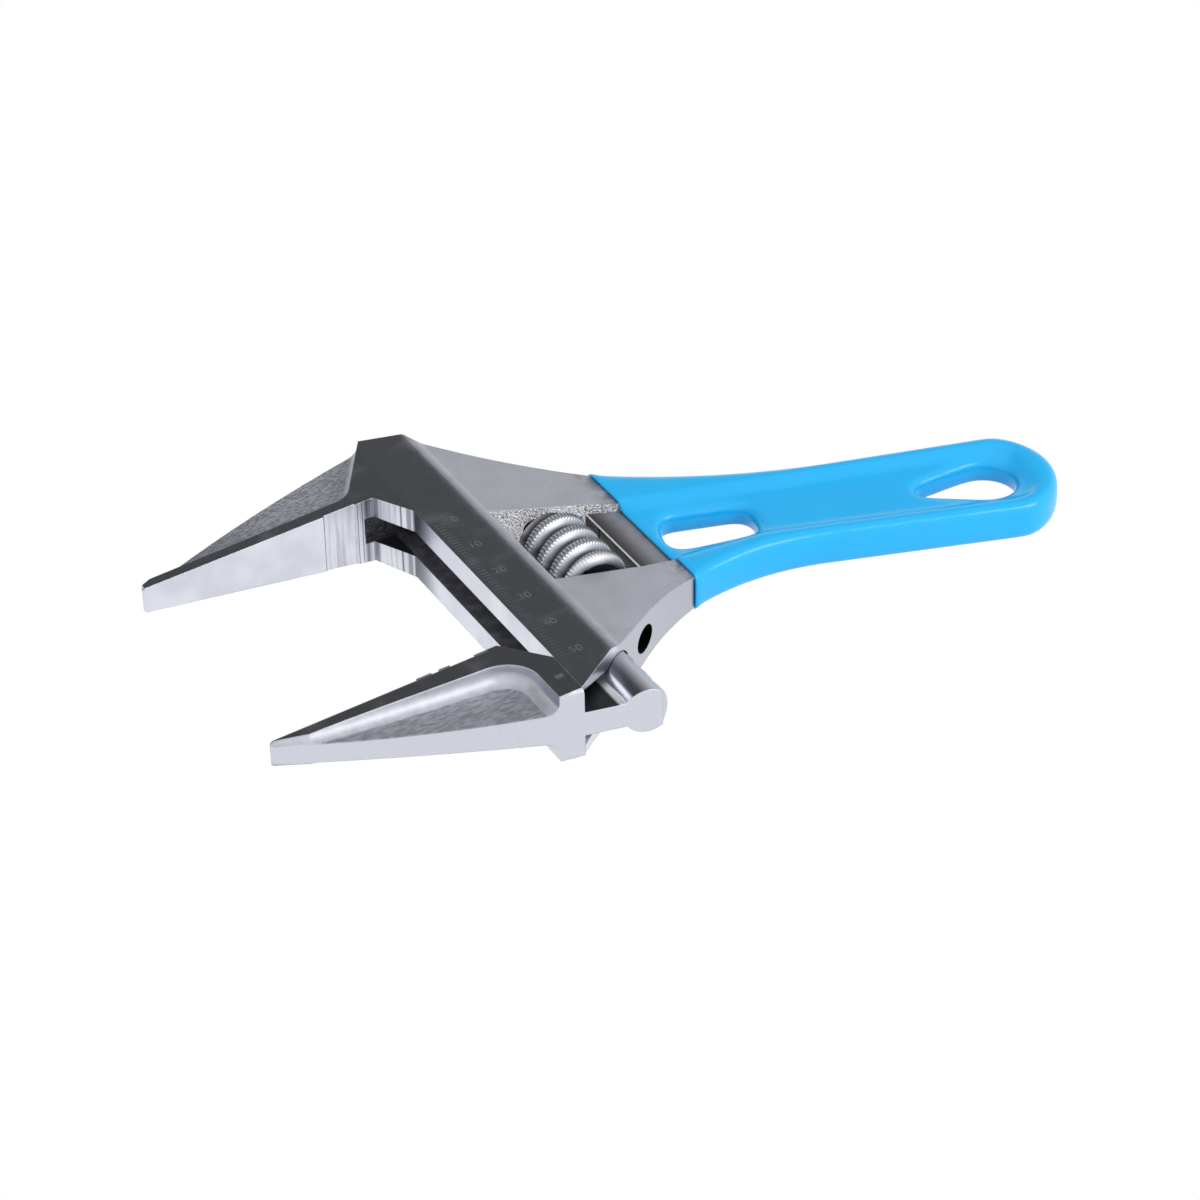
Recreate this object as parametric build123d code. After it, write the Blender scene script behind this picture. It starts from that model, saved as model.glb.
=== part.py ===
"""Adjustable wrench with long slim jaws, a knurled worm and a short dipped handle.

Modelling frame: X runs from the slide face towards the jaw tips, Y from the face of the fixed jaw
in the direction that opens the jaws, and Z up from the middle of the thickness. At the end every
piece is moved by one offset, so that the origin is under the middle of the whole wrench.
"""
from build123d import *
import os
from math import atan2, cos, degrees, pi, radians, sin, tan

# ---------------------------------------------------------------- driving dimensions (mm, degrees)
# Jaws: each has a thick gripping rim in front of a thinner web.
jaw_reach = 54.0              # slide face to jaw tip
jaw_tip_width = 1.1
jaw_tip_radius = 1.4          # rounds the outer corner of the tip
jaw_tip_chamfer = 0.5
jaw_tip_thickness = 5.5
fixed_root_width = 20.6       # across the fixed jaw at its root
fixed_bow = 1.7               # how far the outer edge bows out
moving_bow = 1.1
fixed_rim_root = 3.1
fixed_rim_tip = 2.1
moving_rim_root = 5.5
moving_rim_bend = 47.0        # slide face to where the moving jaw's rim starts to narrow faster
moving_rim_bend_width = 2.4
moving_rim_end = 53.0         # slide face to where its edge runs out through the jaw's face
fixed_web = (7.7, 4.2, 1.4)   # thickness at the slide face, at half the reach and at the tip
moving_web = (7.2, 4.8, 4.0)
pocket_floor_radius = 2.6     # cove between the rim and the web
fixed_pocket_rise = 8.6       # slide face to the inner end of the fixed jaw's pocket
fixed_pocket_corner = 5.0
fixed_step_from = 8.5         # slide face to a shallow step in the fixed jaw's face
fixed_step_to = 15.2
fixed_step_depth = 0.35
land_end = 11.8               # slide face to the end of the moving jaw's inner gripping land
pad_spans = ((16.9, 19.2), (20.7, 23.8))    # two more gripping pads, from the slide face
pad_height = 0.45             # land and pads above the rest of the moving jaw's face
jaw_opening = 56.2            # fixed jaw face to the gripping land, as modelled
opening_min = 0.2
opening_max = 60.0

# Head and slide
head_thickness = 15.6
band_depth = 10.5             # full-thickness band behind the slide face
slide_length = 76.4           # fixed jaw face to the outer corner of the head
shoulder_depth = 1.8          # slide face to the head's shoulder behind the fixed jaw
head_shoulder = 19.3          # fixed jaw face to that shoulder
back_corner_depth = 11.0      # slide face to the head's back corner
head_back_reach = 17.2        # fixed jaw face to that corner
throat_length = 8.9           # slanted throat, along the slide
throat_rise = 4.6             # and up the fixed jaw
outer_flank_angle = 36.7      # slope of the flank on the moving jaw's side
inner_flank_angle = 49.0
slide_slot_thickness = 5.8
slide_slot_depth = 2.2        # how far the slot runs into the fixed jaw's face
slide_slot_reach = 6.5        # slide face to the slot's end on that face
mouth_height = 6.6            # half the height of the slot's flared mouth, at the outer corner
mouth_depth = 5.4             # how far the flare runs in from there
mouth_fall = 0.27             # how its edge sinks, mm for each mm behind the slide face

# Saddle, web and rack of the moving jaw
saddle_height = 4.8
saddle_length = 20.4          # jaw face to the outer end, at the top of the saddle
saddle_end_slope = 0.18       # mm outwards for each mm below that
saddle_corner_radius = 7.5
saddle_end_radius = 1.2       # rounds the top and bottom of the saddle's outer end
relief_rise = 7.0             # slanted corner that faces the throat
relief_length = 9.4
slide_web_thickness = 5.2
slide_web_inset = 9.8         # jaw face to the inner end of the web in the slot
rack_radius = 4.7
rack_depth = 11.9             # slide face to the rack axis
rack_hold = 7.0               # length of rack still beside the worm at the widest opening
tooth_clearance = 0.25
slide_clearance = 0.08

# Worm, its pin and its spring
worm_radius = 7.7
worm_depth = 22.8             # slide face to the worm axis
worm_start = 20.3             # fixed jaw face to the worm
worm_length = 20.7
worm_pitch = 5.0
thread_depth = 1.9
thread_crest = 2.0
thread_root = 3.4
thread_lead_in = 0.2          # worm's inner end to the thread, on the side of the rack
thread_sink = 0.4             # how far the thread's section runs into the core
worm_end_bevel = 1.8
pin_radius = 1.9
pin_clearance = 0.05
pin_blind_depth = 8.0         # how far the pin enters the inner wall of the window
pin_seat_depth = 8.7          # outer wall of the window to the seat of the pin's head
pin_head_radius = 2.6
pin_head_length = 4.0
driver_slot_width = 0.8
driver_slot_depth = 1.1
spring_wire = 0.6
spring_turns = 6
spring_clearance = 0.12
spring_pocket_depth = 6.5

# Window for the worm
window_front_land = 3.0       # band to the front wall
window_back_gap = 1.8         # worm to the back wall
window_inner_gap = 1.4        # worm to the inner wall, at the back
window_outer_gap = 0.45       # worm to the outer wall, at the front
window_inner_slant = 0.245    # how the end walls lean, mm across for each mm back
window_outer_slant = 0.12

# Neck and handle
neck_thickness = 12.4
neck_slope_length = 3.0       # from the band down to the neck
handle_thickness = 7.0
handle_angle = 15.6
handle_start_depth = 38.5     # slide face to the start of the sleeve
handle_start_offset = 29.9    # fixed jaw face to the handle axis there
handle_length = 84.2
handle_start_width = 22.0     # between the straight sides, if they ran on to the start
handle_end_width = 25.8
handle_end_radius = 14.0
handle_corner_radius = 5.0
outer_flank_radius = 50.0     # blend from the flank to the handle, on the moving jaw's side
inner_flank_radius = 130.0
panel_thickness = 3.8         # between the recessed panels
panel_rim = 2.7
panel_end_rim = 4.6
panel_corner_radius = 6.0
grip_thickness = 0.8
grip_edge_radius = 1.5
grip_hole_edge_radius = 0.7

# Openings through the handle, as finished in the sleeve
slot_start = 4.2
slot_length = 18.6
slot_inner_offset = 3.4       # from the handle axis, towards the fixed jaw
slot_outer_start = 8.1        # from the handle axis, the other way, at the start
slot_outer_end = 6.3
slot_corner_radius = 3.2
hang_hole_end_distance = 13.6 # middle of the hang hole's wide end to the handle's end
hang_hole_radius = 6.2
hang_tip_distance = 11.9
hang_tip_radius = 2.4

# ---------------------------------------------------------------- derived values
half_head = head_thickness / 2
half_neck = neck_thickness / 2
half_handle = handle_thickness / 2
half_panel = panel_thickness / 2
bore_radius = rack_radius + slide_clearance
worm_end = worm_start + worm_length
window_front = -(band_depth + window_front_land)
window_back = -(worm_depth + worm_radius + window_back_gap)
rack_start = worm_end - rack_hold - (opening_max - jaw_opening)
worm_front = -(worm_depth - worm_radius)
hang_hole_position = handle_length - hang_hole_end_distance
beyond = 150.0                # longer than anything that it cuts


def half_rim_at(x):
    """Half the thickness of a jaw's rim, which tapers from the slide face to the tip."""
    return half_head + (jaw_tip_thickness / 2 - half_head) * max(x, 0) / jaw_reach


def half_web_at(x, web):
    """Half the thickness of a jaw's web, on a curve through its three given thicknesses."""
    root, middle, tip = web
    t = x / jaw_reach
    return (root * (1 - t) * (1 - 2 * t) + 4 * middle * t * (1 - t) + tip * t * (2 * t - 1)) / 2


def inner_wall_at(x):
    """Y of the window's inner wall."""
    return worm_start - window_inner_gap - window_inner_slant * (x - window_back)


def outer_wall_at(x):
    """Y of the window's outer wall."""
    return worm_end + window_outer_gap - window_outer_slant * (x - worm_front)


def on_handle(along, across):
    """A plan point, from its distances along and across the handle axis."""
    a = radians(handle_angle)
    x = -handle_start_depth - along * cos(a) + across * sin(a)
    y = handle_start_offset + along * sin(a) + across * cos(a)
    return (x, y)


def handle_half_width(along):
    """Half the width between the handle's straight sides."""
    return (handle_start_width + (handle_end_width - handle_start_width) * along / handle_length) / 2


def meet(p, q, r, s):
    """Where the line through p and q meets the line through r and s."""
    dx1, dy1, dx2, dy2 = q[0] - p[0], q[1] - p[1], s[0] - r[0], s[1] - r[1]
    t = ((r[0] - p[0]) * dy2 - (r[1] - p[1]) * dx2) / (dx1 * dy2 - dy1 * dx2)
    return (p[0] + t * dx1, p[1] + t * dy1)


def face(points):
    return make_face(Polyline(*points, close=True))


def box_plan(x_from, x_to, y_from, y_to):
    """Corners of a plan rectangle."""
    return [(x_from, y_from), (x_to, y_from), (x_to, y_to), (x_from, y_to)]


def round_corner(plan, point, radius):
    """Round the corner of a plan face that is nearest to a point."""
    corner = plan.vertices().sort_by_distance((point[0], point[1], 0))[0]
    return fillet(corner, radius)


def slab(plan, half):
    """A plan face made into a slab about the middle plane."""
    return extrude(plan, half, both=True)


def side_bar(points, y_from, y_to):
    """An outline in X and Z, extruded along Y."""
    plane = Plane(origin=(0, y_to, 0), x_dir=(1, 0, 0), z_dir=(0, -1, 0))
    return extrude(plane * face(points), y_to - y_from)


def symmetric(points):
    """A side outline whose lower half mirrors the upper one."""
    return points + [(x, -z) for x, z in reversed(points)]


def rod(depth, radius, y_from, y_to):
    """A round bar along Y in the middle plane, at a depth behind the slide face."""
    plane = Plane(origin=(-depth, y_from, 0), x_dir=(1, 0, 0), z_dir=(0, 1, 0))
    return extrude(plane * Circle(radius), y_to - y_from)


# ---------------------------------------------------------------- jaws
def jaw_blade(root_x, arc_root, bow, rim_edge, root_end, corner_radius, web):
    """A jaw with its face on Y = 0 that reaches along X and is backed towards +Y.

    Its bowed outer edge starts at arc_root. rim_edge is the rim's edge along the two pockets, from
    the root to the tip, and the line from its first point to root_end closes them at the root.
    """
    tip = (jaw_reach, jaw_tip_width)
    middle = ((tip[0] + arc_root[0]) / 2, (tip[1] + arc_root[1]) / 2 + bow)
    corners = dict.fromkeys([arc_root, (root_x, arc_root[1]), (root_x, 0), (jaw_reach, 0), tip])
    plan = make_face([ThreePointArc(tip, middle, arc_root), Polyline(*corners)])
    plan = round_corner(plan, tip, jaw_tip_radius)
    taper = [(x, half_rim_at(x)) for x in (min(root_x, -1), 0, jaw_reach - jaw_tip_chamfer)]
    taper.append((jaw_reach, half_rim_at(jaw_reach) - jaw_tip_chamfer))
    blade = slab(plan, half_head) & side_bar(symmetric(taper), -1, beyond)

    past_tip = jaw_reach + 4
    rim_end = meet(*rim_edge[-2:], (past_tip, 0), (past_tip, 1))
    pocket_plan = face([rim_end, *reversed(rim_edge[:-1]), root_end, (past_tip, beyond)])
    pocket_plan = round_corner(pocket_plan, rim_edge[0], corner_radius)
    floor_ends = (-half_head, past_tip + 1)
    floor = [(x, half_web_at(x, web)) for x in (floor_ends[0], sum(floor_ends) / 2, floor_ends[1])]
    around = Polyline(floor[2], (floor_ends[1], beyond), (floor_ends[0], beyond), floor[0])
    plane = Plane(origin=(0, 2 * beyond, 0), x_dir=(1, 0, 0), z_dir=(0, -1, 0))
    room = extrude(plane * make_face([ThreePointArc(*floor), around]), 3 * beyond)
    pocket = extrude(pocket_plan, beyond) & room
    floor_edges = pocket.faces().sort_by(Axis.Z)[0].edges()
    cove = floor_edges.filter_by(lambda e: e.center().X < jaw_reach and e.center().Y < beyond * 0.6)
    pocket = fillet(cove, pocket_floor_radius)
    return blade - pocket - mirror(pocket, about=Plane.XY)


def make_moving_jaw():
    """Jaw, saddle, web and toothed rack in one piece, with the jaw face on Y = 0."""
    blade = jaw_blade(
        slide_clearance,
        (saddle_height, saddle_length),
        moving_bow,
        [
            (saddle_height, moving_rim_root),
            (moving_rim_bend, moving_rim_bend_width),
            (moving_rim_end, 0),
        ],
        (saddle_height, beyond),
        saddle_corner_radius,
        moving_web,
    )
    past_end = 2 * saddle_length
    saddle_plan = box_plan(slide_clearance, saddle_height, 0, past_end)
    saddle_taper = [(x, half_rim_at(x)) for x in (0, saddle_height)]
    saddle = slab(face(saddle_plan), half_head) & side_bar(symmetric(saddle_taper), 0, past_end)
    web_plan = box_plan(-rack_depth, saddle_height / 2, slide_web_inset, past_end)
    web = slab(face(web_plan), slide_web_thickness / 2)
    rack = rod(rack_depth, rack_radius, rack_start - jaw_opening, past_end)
    relief_plan = [(-1, -1), (relief_rise, -1), (relief_rise, 0), (0, relief_length), (-1, relief_length)]
    relief = slab(face(relief_plan), 2 * half_head)
    end_top = (beyond, saddle_length - saddle_end_slope * (beyond - saddle_height))
    end_bottom = (-beyond, saddle_length + saddle_end_slope * (beyond + saddle_height))
    outside = slab(face([end_top, end_bottom, (-beyond, 2 * beyond), (beyond, 2 * beyond)]), beyond)
    base = (saddle - relief) + web + rack - outside
    end_edges = [edge for edge in base.edges() if is_saddle_end(edge)]
    base = fillet(end_edges, saddle_end_radius) - make_tooth_gaps()
    jaw = (blade - relief) + base
    return jaw - [slab(face(box_plan(start, end, -1, pad_height)), beyond) for start, end in pad_gaps()]


def is_saddle_end(edge):
    """Whether an edge is the top or bottom edge of the saddle's outer end."""
    middle = edge @ 0.5
    end_y = saddle_length + saddle_end_slope * (saddle_height - middle.X)
    on_face = abs(abs(middle.Z) - half_rim_at(middle.X)) < 0.01
    return middle.X > 0 and abs(middle.Y - end_y) < 0.01 and on_face


def pad_gaps():
    """Spans of the moving jaw's face, along X, that are cut back between and beyond the pads."""
    starts = [land_end] + [end for start, end in pad_spans]
    ends = [start for start, end in pad_spans] + [beyond]
    return zip(starts, ends)


def thread_half_width(radius):
    """Half the thread's width at a distance from the worm's axis."""
    return (thread_crest + (worm_radius - radius) * (thread_root - thread_crest) / thread_depth) / 2


def make_tooth_gaps():
    """Gaps of the rack, leaning as the worm's thread does, in the moving jaw's own place."""
    bottom = worm_front + tooth_clearance
    back = -(rack_depth + rack_radius + 1)
    deep_half = thread_half_width(worm_radius) + tooth_clearance
    wide_half = thread_half_width(worm_depth + back) + tooth_clearance
    mesh_radius = worm_radius - thread_depth / 2
    lean = degrees(atan2(worm_pitch, 2 * pi * mesh_radius))
    first = worm_start + thread_lead_in
    gaps = []
    for turn in range(int(beyond / worm_pitch)):
        y = first + turn * worm_pitch
        if rack_start - worm_pitch < y < jaw_opening + 2 * saddle_length:
            plan = face([(bottom, -deep_half), (bottom, deep_half), (back, wide_half), (back, -wide_half)])
            gaps.append(Pos(0, y - jaw_opening, 0) * Rot(lean, 0, 0) * slab(plan, 2 * rack_radius))
    return gaps


# ---------------------------------------------------------------- body
def make_outline():
    """Plan of the head, neck and handle, without the fixed jaw and without openings."""
    outer_slope = tan(radians(outer_flank_angle))
    inner_slope = tan(radians(inner_flank_angle))
    outer_side, inner_side = [
        [on_handle(along, side * handle_half_width(along)) for along in (0, handle_length)]
        for side in (1, -1)
    ]
    outer_corner = (0, slide_length)
    back_corner = (-back_corner_depth, -head_back_reach)
    shoulder = (-shoulder_depth, -head_shoulder)
    outer_bend = meet(outer_corner, (-10, slide_length - 10 * outer_slope), *outer_side)
    up_flank = (back_corner[0] - 10, back_corner[1] + 10 * inner_slope)
    inner_bend = meet(back_corner, up_flank, *inner_side)
    plan = face([
        (0, throat_length),
        outer_corner,
        outer_bend,
        outer_side[1],
        inner_side[1],
        inner_bend,
        back_corner,
        shoulder,
        (throat_rise, -fixed_rim_root / 2),
        (throat_rise, 0),
    ])
    plan = round_corner(plan, outer_bend, outer_flank_radius)
    plan = round_corner(plan, inner_bend, inner_flank_radius)
    crown_middle = on_handle(handle_length - handle_end_radius, 0)
    crown = Pos(*crown_middle) * Circle(handle_end_radius)
    before_crown = face([
        on_handle(handle_length - handle_end_radius, -beyond),
        on_handle(handle_length - handle_end_radius, beyond),
        on_handle(-beyond, beyond),
        on_handle(-beyond, -beyond),
    ])
    plan &= before_crown + crown
    for side in (1, -1):
        reach = handle_half_width(handle_length)
        along = handle_length - handle_end_radius + (handle_end_radius**2 - reach**2) ** 0.5
        plan = round_corner(plan, on_handle(along, side * reach), handle_corner_radius)
    return plan


def make_panel_plan():
    """Recess that runs from the worm's window to the end of the handle."""
    end = handle_length - panel_end_rim
    inner_end = on_handle(end, panel_rim - handle_half_width(end))
    outer_end = on_handle(end, handle_half_width(end) - panel_rim)
    into_window = window_back + 1
    plan = face([
        (into_window, inner_wall_at(into_window)),
        on_handle(0, panel_rim - handle_half_width(0)),
        inner_end,
        outer_end,
        on_handle(slot_start + slot_length, handle_half_width(slot_start + slot_length) - panel_rim),
        (into_window, outer_wall_at(into_window)),
    ])
    for corner in (inner_end, outer_end):
        plan = round_corner(plan, corner, panel_corner_radius)
    return plan


def make_holes_plan():
    """The long slot and the hang hole, as finished in the sleeve."""
    slot_end = slot_start + slot_length
    corners = [
        on_handle(slot_start, -slot_inner_offset),
        on_handle(slot_end, -slot_inner_offset),
        on_handle(slot_end, slot_outer_end),
        on_handle(slot_start, slot_outer_start),
    ]
    slot = face(corners)
    for corner in corners:
        slot = round_corner(slot, corner, slot_corner_radius)
    tip_position = hang_hole_position - hang_tip_distance
    wide = Pos(*on_handle(hang_hole_position, 0)) * Circle(hang_hole_radius)
    tip = Pos(*on_handle(tip_position, 0)) * Circle(hang_tip_radius)
    lean = (hang_hole_radius - hang_tip_radius) / hang_tip_distance
    rise = (1 - lean**2) ** 0.5
    tangents = [
        on_handle(hang_hole_position - hang_hole_radius * lean, hang_hole_radius * rise),
        on_handle(tip_position - hang_tip_radius * lean, hang_tip_radius * rise),
        on_handle(tip_position - hang_tip_radius * lean, -hang_tip_radius * rise),
        on_handle(hang_hole_position - hang_hole_radius * lean, -hang_hole_radius * rise),
    ]
    return slot, face(tangents) + wide + tip


def make_mouth():
    """Upper half of the flare where the slot leaves the head, under a slanting roof."""
    half_slot = slide_slot_thickness / 2
    start = slide_length - mouth_depth
    past_corner = slide_length + 2 * mouth_depth
    roof = half_slot + (mouth_height - half_slot) * (past_corner - start) / mouth_depth
    slope = tan(radians(outer_flank_angle))
    back = Vector(-1, -slope, -mouth_fall)
    section = [(start, 0), (past_corner, 0), (past_corner, roof), (start, half_slot)]
    points = [Vector(0, y, z) for y, z in section]
    reach = (mouth_height - half_slot) / mouth_fall
    return Solid.extrude(Face(Wire.make_polygon(points)), back * reach)


def above(half, plan):
    """The room over a plan, from half a thickness upwards."""
    return Pos(0, 0, half) * extrude(plan, beyond)


def both_faces(tool):
    """A cutting tool and its mirror image below the middle plane."""
    return [tool, mirror(tool, about=Plane.XY)]


def make_body(outline, panel_plan, hole_plans):
    """Fixed jaw, head, neck and handle core, one forging."""
    profile = symmetric([
        (-beyond, half_handle),
        (-handle_start_depth, half_handle),
        (-band_depth - neck_slope_length, half_neck),
        (-band_depth, half_head),
        (0, half_head),
        (throat_rise, half_rim_at(throat_rise)),
    ])
    head = slab(outline, half_head) & side_bar(profile, -beyond, beyond)
    pocket_corner = (fixed_pocket_rise, fixed_rim_root)
    pocket_end = meet(pocket_corner, (-shoulder_depth, head_shoulder), (0, beyond), (1, beyond))
    blade = jaw_blade(
        -shoulder_depth,
        (-shoulder_depth, fixed_root_width),
        fixed_bow,
        [pocket_corner, (jaw_reach + 4, fixed_rim_tip)],
        pocket_end,
        fixed_pocket_corner,
        fixed_web,
    )
    body = head + mirror(blade, about=Plane.XZ)

    window_plan = [(x, wall(x)) for x, wall in (
        (window_front, inner_wall_at),
        (window_back, inner_wall_at),
        (window_back, outer_wall_at),
        (window_front, outer_wall_at),
    )]
    window = slab(face(window_plan), beyond)
    head_seat = outer_wall_at(-worm_depth) + pin_seat_depth
    pin_end = inner_wall_at(-worm_depth) - pin_blind_depth
    slot_plan = box_plan(-rack_depth, slide_slot_reach, -slide_slot_depth, beyond)
    cuts = [
        slab(face(slot_plan), slide_slot_thickness / 2),
        slab(face(box_plan(fixed_step_from, fixed_step_to, -fixed_step_depth, 1)), beyond),
        rod(rack_depth, bore_radius, -beyond, beyond),
        window,
        rod(worm_depth, pin_radius + pin_clearance, pin_end, head_seat),
        rod(worm_depth, pin_head_radius + pin_clearance, head_seat, beyond),
    ]
    cuts += both_faces(above(half_panel, panel_plan))
    cuts += both_faces(make_mouth())
    cuts += [slab(offset(plan, grip_thickness), beyond) for plan in hole_plans]
    return body - cuts


def make_grip(outline, panel_plan, hole_plans, body):
    """Sleeve of even thickness over the handle core."""
    behind_start = face([
        (-handle_start_depth, -beyond),
        (-handle_start_depth, beyond),
        (-2 * beyond, beyond),
        (-2 * beyond, -beyond),
    ])
    outer_plan = offset(outline, grip_thickness) & behind_start
    top = half_handle + grip_thickness
    panel_top = half_panel + grip_thickness
    sleeve = slab(outer_plan, top) - both_faces(above(panel_top, offset(panel_plan, -grip_thickness)))
    rims = [edge for edge in sleeve.edges() if abs(abs(edge.center().Z) - top) < 0.01]
    rims = [edge for edge in rims if edge.bounding_box().min.X < -handle_start_depth - 0.01]
    sleeve = fillet(rims, grip_edge_radius)
    sleeve = sleeve - [slab(plan, beyond) for plan in hole_plans]
    hole_rims = []
    for edge in sleeve.edges():
        middle = edge @ 0.5
        in_hole = min(plan.distance_to(Vertex(middle.X, middle.Y, 0)) for plan in hole_plans) < 0.01
        if in_hole and abs(abs(middle.Z) - panel_top) < 0.01:
            hole_rims.append(edge)
    sleeve = fillet(hole_rims, grip_hole_edge_radius)
    return sleeve - body


# ---------------------------------------------------------------- worm, pin and spring
def make_worm():
    """Worm with one right-hand thread, bored for its pin and for the spring."""
    core_radius = worm_radius - thread_depth
    inner = core_radius - thread_sink
    section = face([
        (inner, -thread_half_width(inner)),
        (worm_radius, -thread_half_width(worm_radius)),
        (worm_radius, thread_half_width(worm_radius)),
        (inner, thread_half_width(inner)),
    ])
    spare = worm_pitch
    path = Helix(worm_pitch, worm_length + 2 * spare, (inner + worm_radius) / 2)
    thread = sweep(Plane.XZ * section, path=path, is_frenet=True)
    thread = Pos(0, 0, thread_lead_in - spare) * thread
    blank = extrude(Circle(worm_radius + thread_sink), worm_length)
    thread &= chamfer(blank.edges().filter_by(GeomType.CIRCLE), worm_end_bevel + thread_sink)
    core = extrude(Circle(core_radius), worm_length)
    bore = extrude(Circle(pin_radius + pin_clearance), worm_length)
    pocket_radius = spring_radius() + spring_wire / 2 + spring_clearance
    pocket = Pos(0, 0, worm_length) * extrude(Circle(pocket_radius), -spring_pocket_depth)
    worm = core + thread - bore - pocket
    return Pos(-worm_depth, worm_start, 0) * Rot(-90, 0, 0) * worm


def spring_radius():
    """Mean radius of the spring's coils."""
    return pin_radius + spring_clearance + spring_wire / 2


def make_spring():
    """Spring on the pin, from the worm's pocket to the window's outer wall."""
    from_y = worm_end - spring_pocket_depth + spring_wire / 2 + pin_clearance
    to_y = outer_wall_at(-worm_depth + spring_radius() + spring_wire) - spring_wire / 2 - pin_clearance
    coils = Helix((to_y - from_y) / spring_turns, to_y - from_y, spring_radius())
    wire = sweep(Plane(origin=(spring_radius(), 0, 0), z_dir=coils.tangent_at(0)) * Circle(spring_wire / 2),
                 path=coils, is_frenet=True)
    return Pos(-worm_depth, from_y, 0) * Rot(-90, 0, 0) * wire


def make_pin():
    """Pin of the worm, with a slotted head in the head's outer flank."""
    blind = inner_wall_at(-worm_depth) - pin_blind_depth + pin_clearance
    seat = outer_wall_at(-worm_depth) + pin_seat_depth
    end = seat + pin_head_length
    pin = rod(worm_depth, pin_radius, blind, seat) + rod(worm_depth, pin_head_radius, seat, end)
    driver_slot = Pos(-worm_depth, end, 0) * Box(
        driver_slot_width, 2 * driver_slot_depth, 3 * pin_head_radius)
    return pin - driver_slot


def make_pieces():
    """Every piece by name, in the modelling frame."""
    outline = make_outline()
    panel_plan = make_panel_plan()
    hole_plans = make_holes_plan()
    body = make_body(outline, panel_plan, hole_plans)
    return {
        "body": body,
        "grip": make_grip(outline, panel_plan, hole_plans, body),
        "moving_jaw": Pos(0, jaw_opening, 0) * make_moving_jaw(),
        "worm": make_worm(),
        "worm_pin": make_pin(),
        "worm_spring": make_spring(),
    }


def frame_offset(pieces):
    """Offset that puts the origin under the middle of the whole wrench."""
    box = Compound(children=[piece.solids()[0] for piece in pieces.values()]).bounding_box()
    return Pos(-box.center().X, -box.center().Y, -box.min.Z)


if __name__ == "__main__":
    os.makedirs("parts", exist_ok=True)
    pieces = make_pieces()
    place = frame_offset(pieces)
    for name, piece in pieces.items():
        export_step(place * piece, f"parts/{name}.step")
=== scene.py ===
"""Adjustable wrench: finishes, knurled worm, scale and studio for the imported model."""
from math import cos, pi, radians, sin
from types import SimpleNamespace

import bpy
from mathutils import Matrix, Quaternion, Vector


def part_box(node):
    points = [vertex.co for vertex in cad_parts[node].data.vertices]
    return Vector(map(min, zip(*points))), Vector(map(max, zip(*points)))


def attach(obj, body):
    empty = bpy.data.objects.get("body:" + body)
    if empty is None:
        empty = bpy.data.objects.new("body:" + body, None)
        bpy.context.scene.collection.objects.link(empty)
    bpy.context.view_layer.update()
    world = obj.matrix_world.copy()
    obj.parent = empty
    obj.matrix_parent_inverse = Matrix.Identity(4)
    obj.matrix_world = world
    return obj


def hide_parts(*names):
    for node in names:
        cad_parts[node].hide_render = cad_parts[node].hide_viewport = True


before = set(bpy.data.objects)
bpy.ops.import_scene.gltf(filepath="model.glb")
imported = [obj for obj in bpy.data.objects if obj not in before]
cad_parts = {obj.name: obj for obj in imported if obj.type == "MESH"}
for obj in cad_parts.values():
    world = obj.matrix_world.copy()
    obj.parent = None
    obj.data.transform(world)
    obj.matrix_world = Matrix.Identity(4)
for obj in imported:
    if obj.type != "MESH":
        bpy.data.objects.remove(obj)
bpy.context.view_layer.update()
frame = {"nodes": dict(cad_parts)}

MM = 0.001

# ---------------------------------------------------------------- where the wrench is
# Everything below is in millimetres from the corner of the slide face and the fixed jaw's face,
# in the middle of the thickness: X towards the jaw tips, Y the way the jaws open, Z up.
JAW_REACH = 54.0
SLIDE_LENGTH = 76.4
JAW_OPENING = 56.2
RACK_DEPTH = 11.9
RACK_BORE = 4.78
SLOT_HALF = 2.9
PIN_HOLE = 2.65
WINDOW_FRONT = -13.5
WINDOW_BACK = -32.3
HALF_HEAD = 7.8
HALF_TIP = 2.75
BAND_DEPTH = 10.5
HANDLE_DEPTH = 38.5
body_low, body_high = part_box("body")
ORIGIN = Vector((
    body_high.x - JAW_REACH * MM,
    body_high.y - SLIDE_LENGTH * MM,
    (body_low.z + body_high.z) / 2,
))

WORM_DEPTH = 22.8
WORM_RADIUS = 7.7
WORM_START = 20.3
WORM_LENGTH = 20.7
WORM_PITCH = 5.0
THREAD_DEPTH = 1.9
THREAD_CREST = 1.5
THREAD_LEAD_IN = 0.2
PIN_BORE_RADIUS = 1.95
SPRING_POCKET_RADIUS = 2.74


def place(x, y, z):
    """A point of the wrench, in the frame's metres."""
    return ORIGIN + Vector((x, y, z)) * MM


def new_mesh(name, vertices, faces, smooth=True):
    mesh = bpy.data.meshes.new(name)
    mesh.from_pydata([tuple(v) for v in vertices], [], faces)
    mesh.update()
    mesh.polygons.foreach_set("use_smooth", [smooth] * len(mesh.polygons))
    made = bpy.data.objects.new(name, mesh)
    bpy.context.scene.collection.objects.link(made)
    return made


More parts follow.
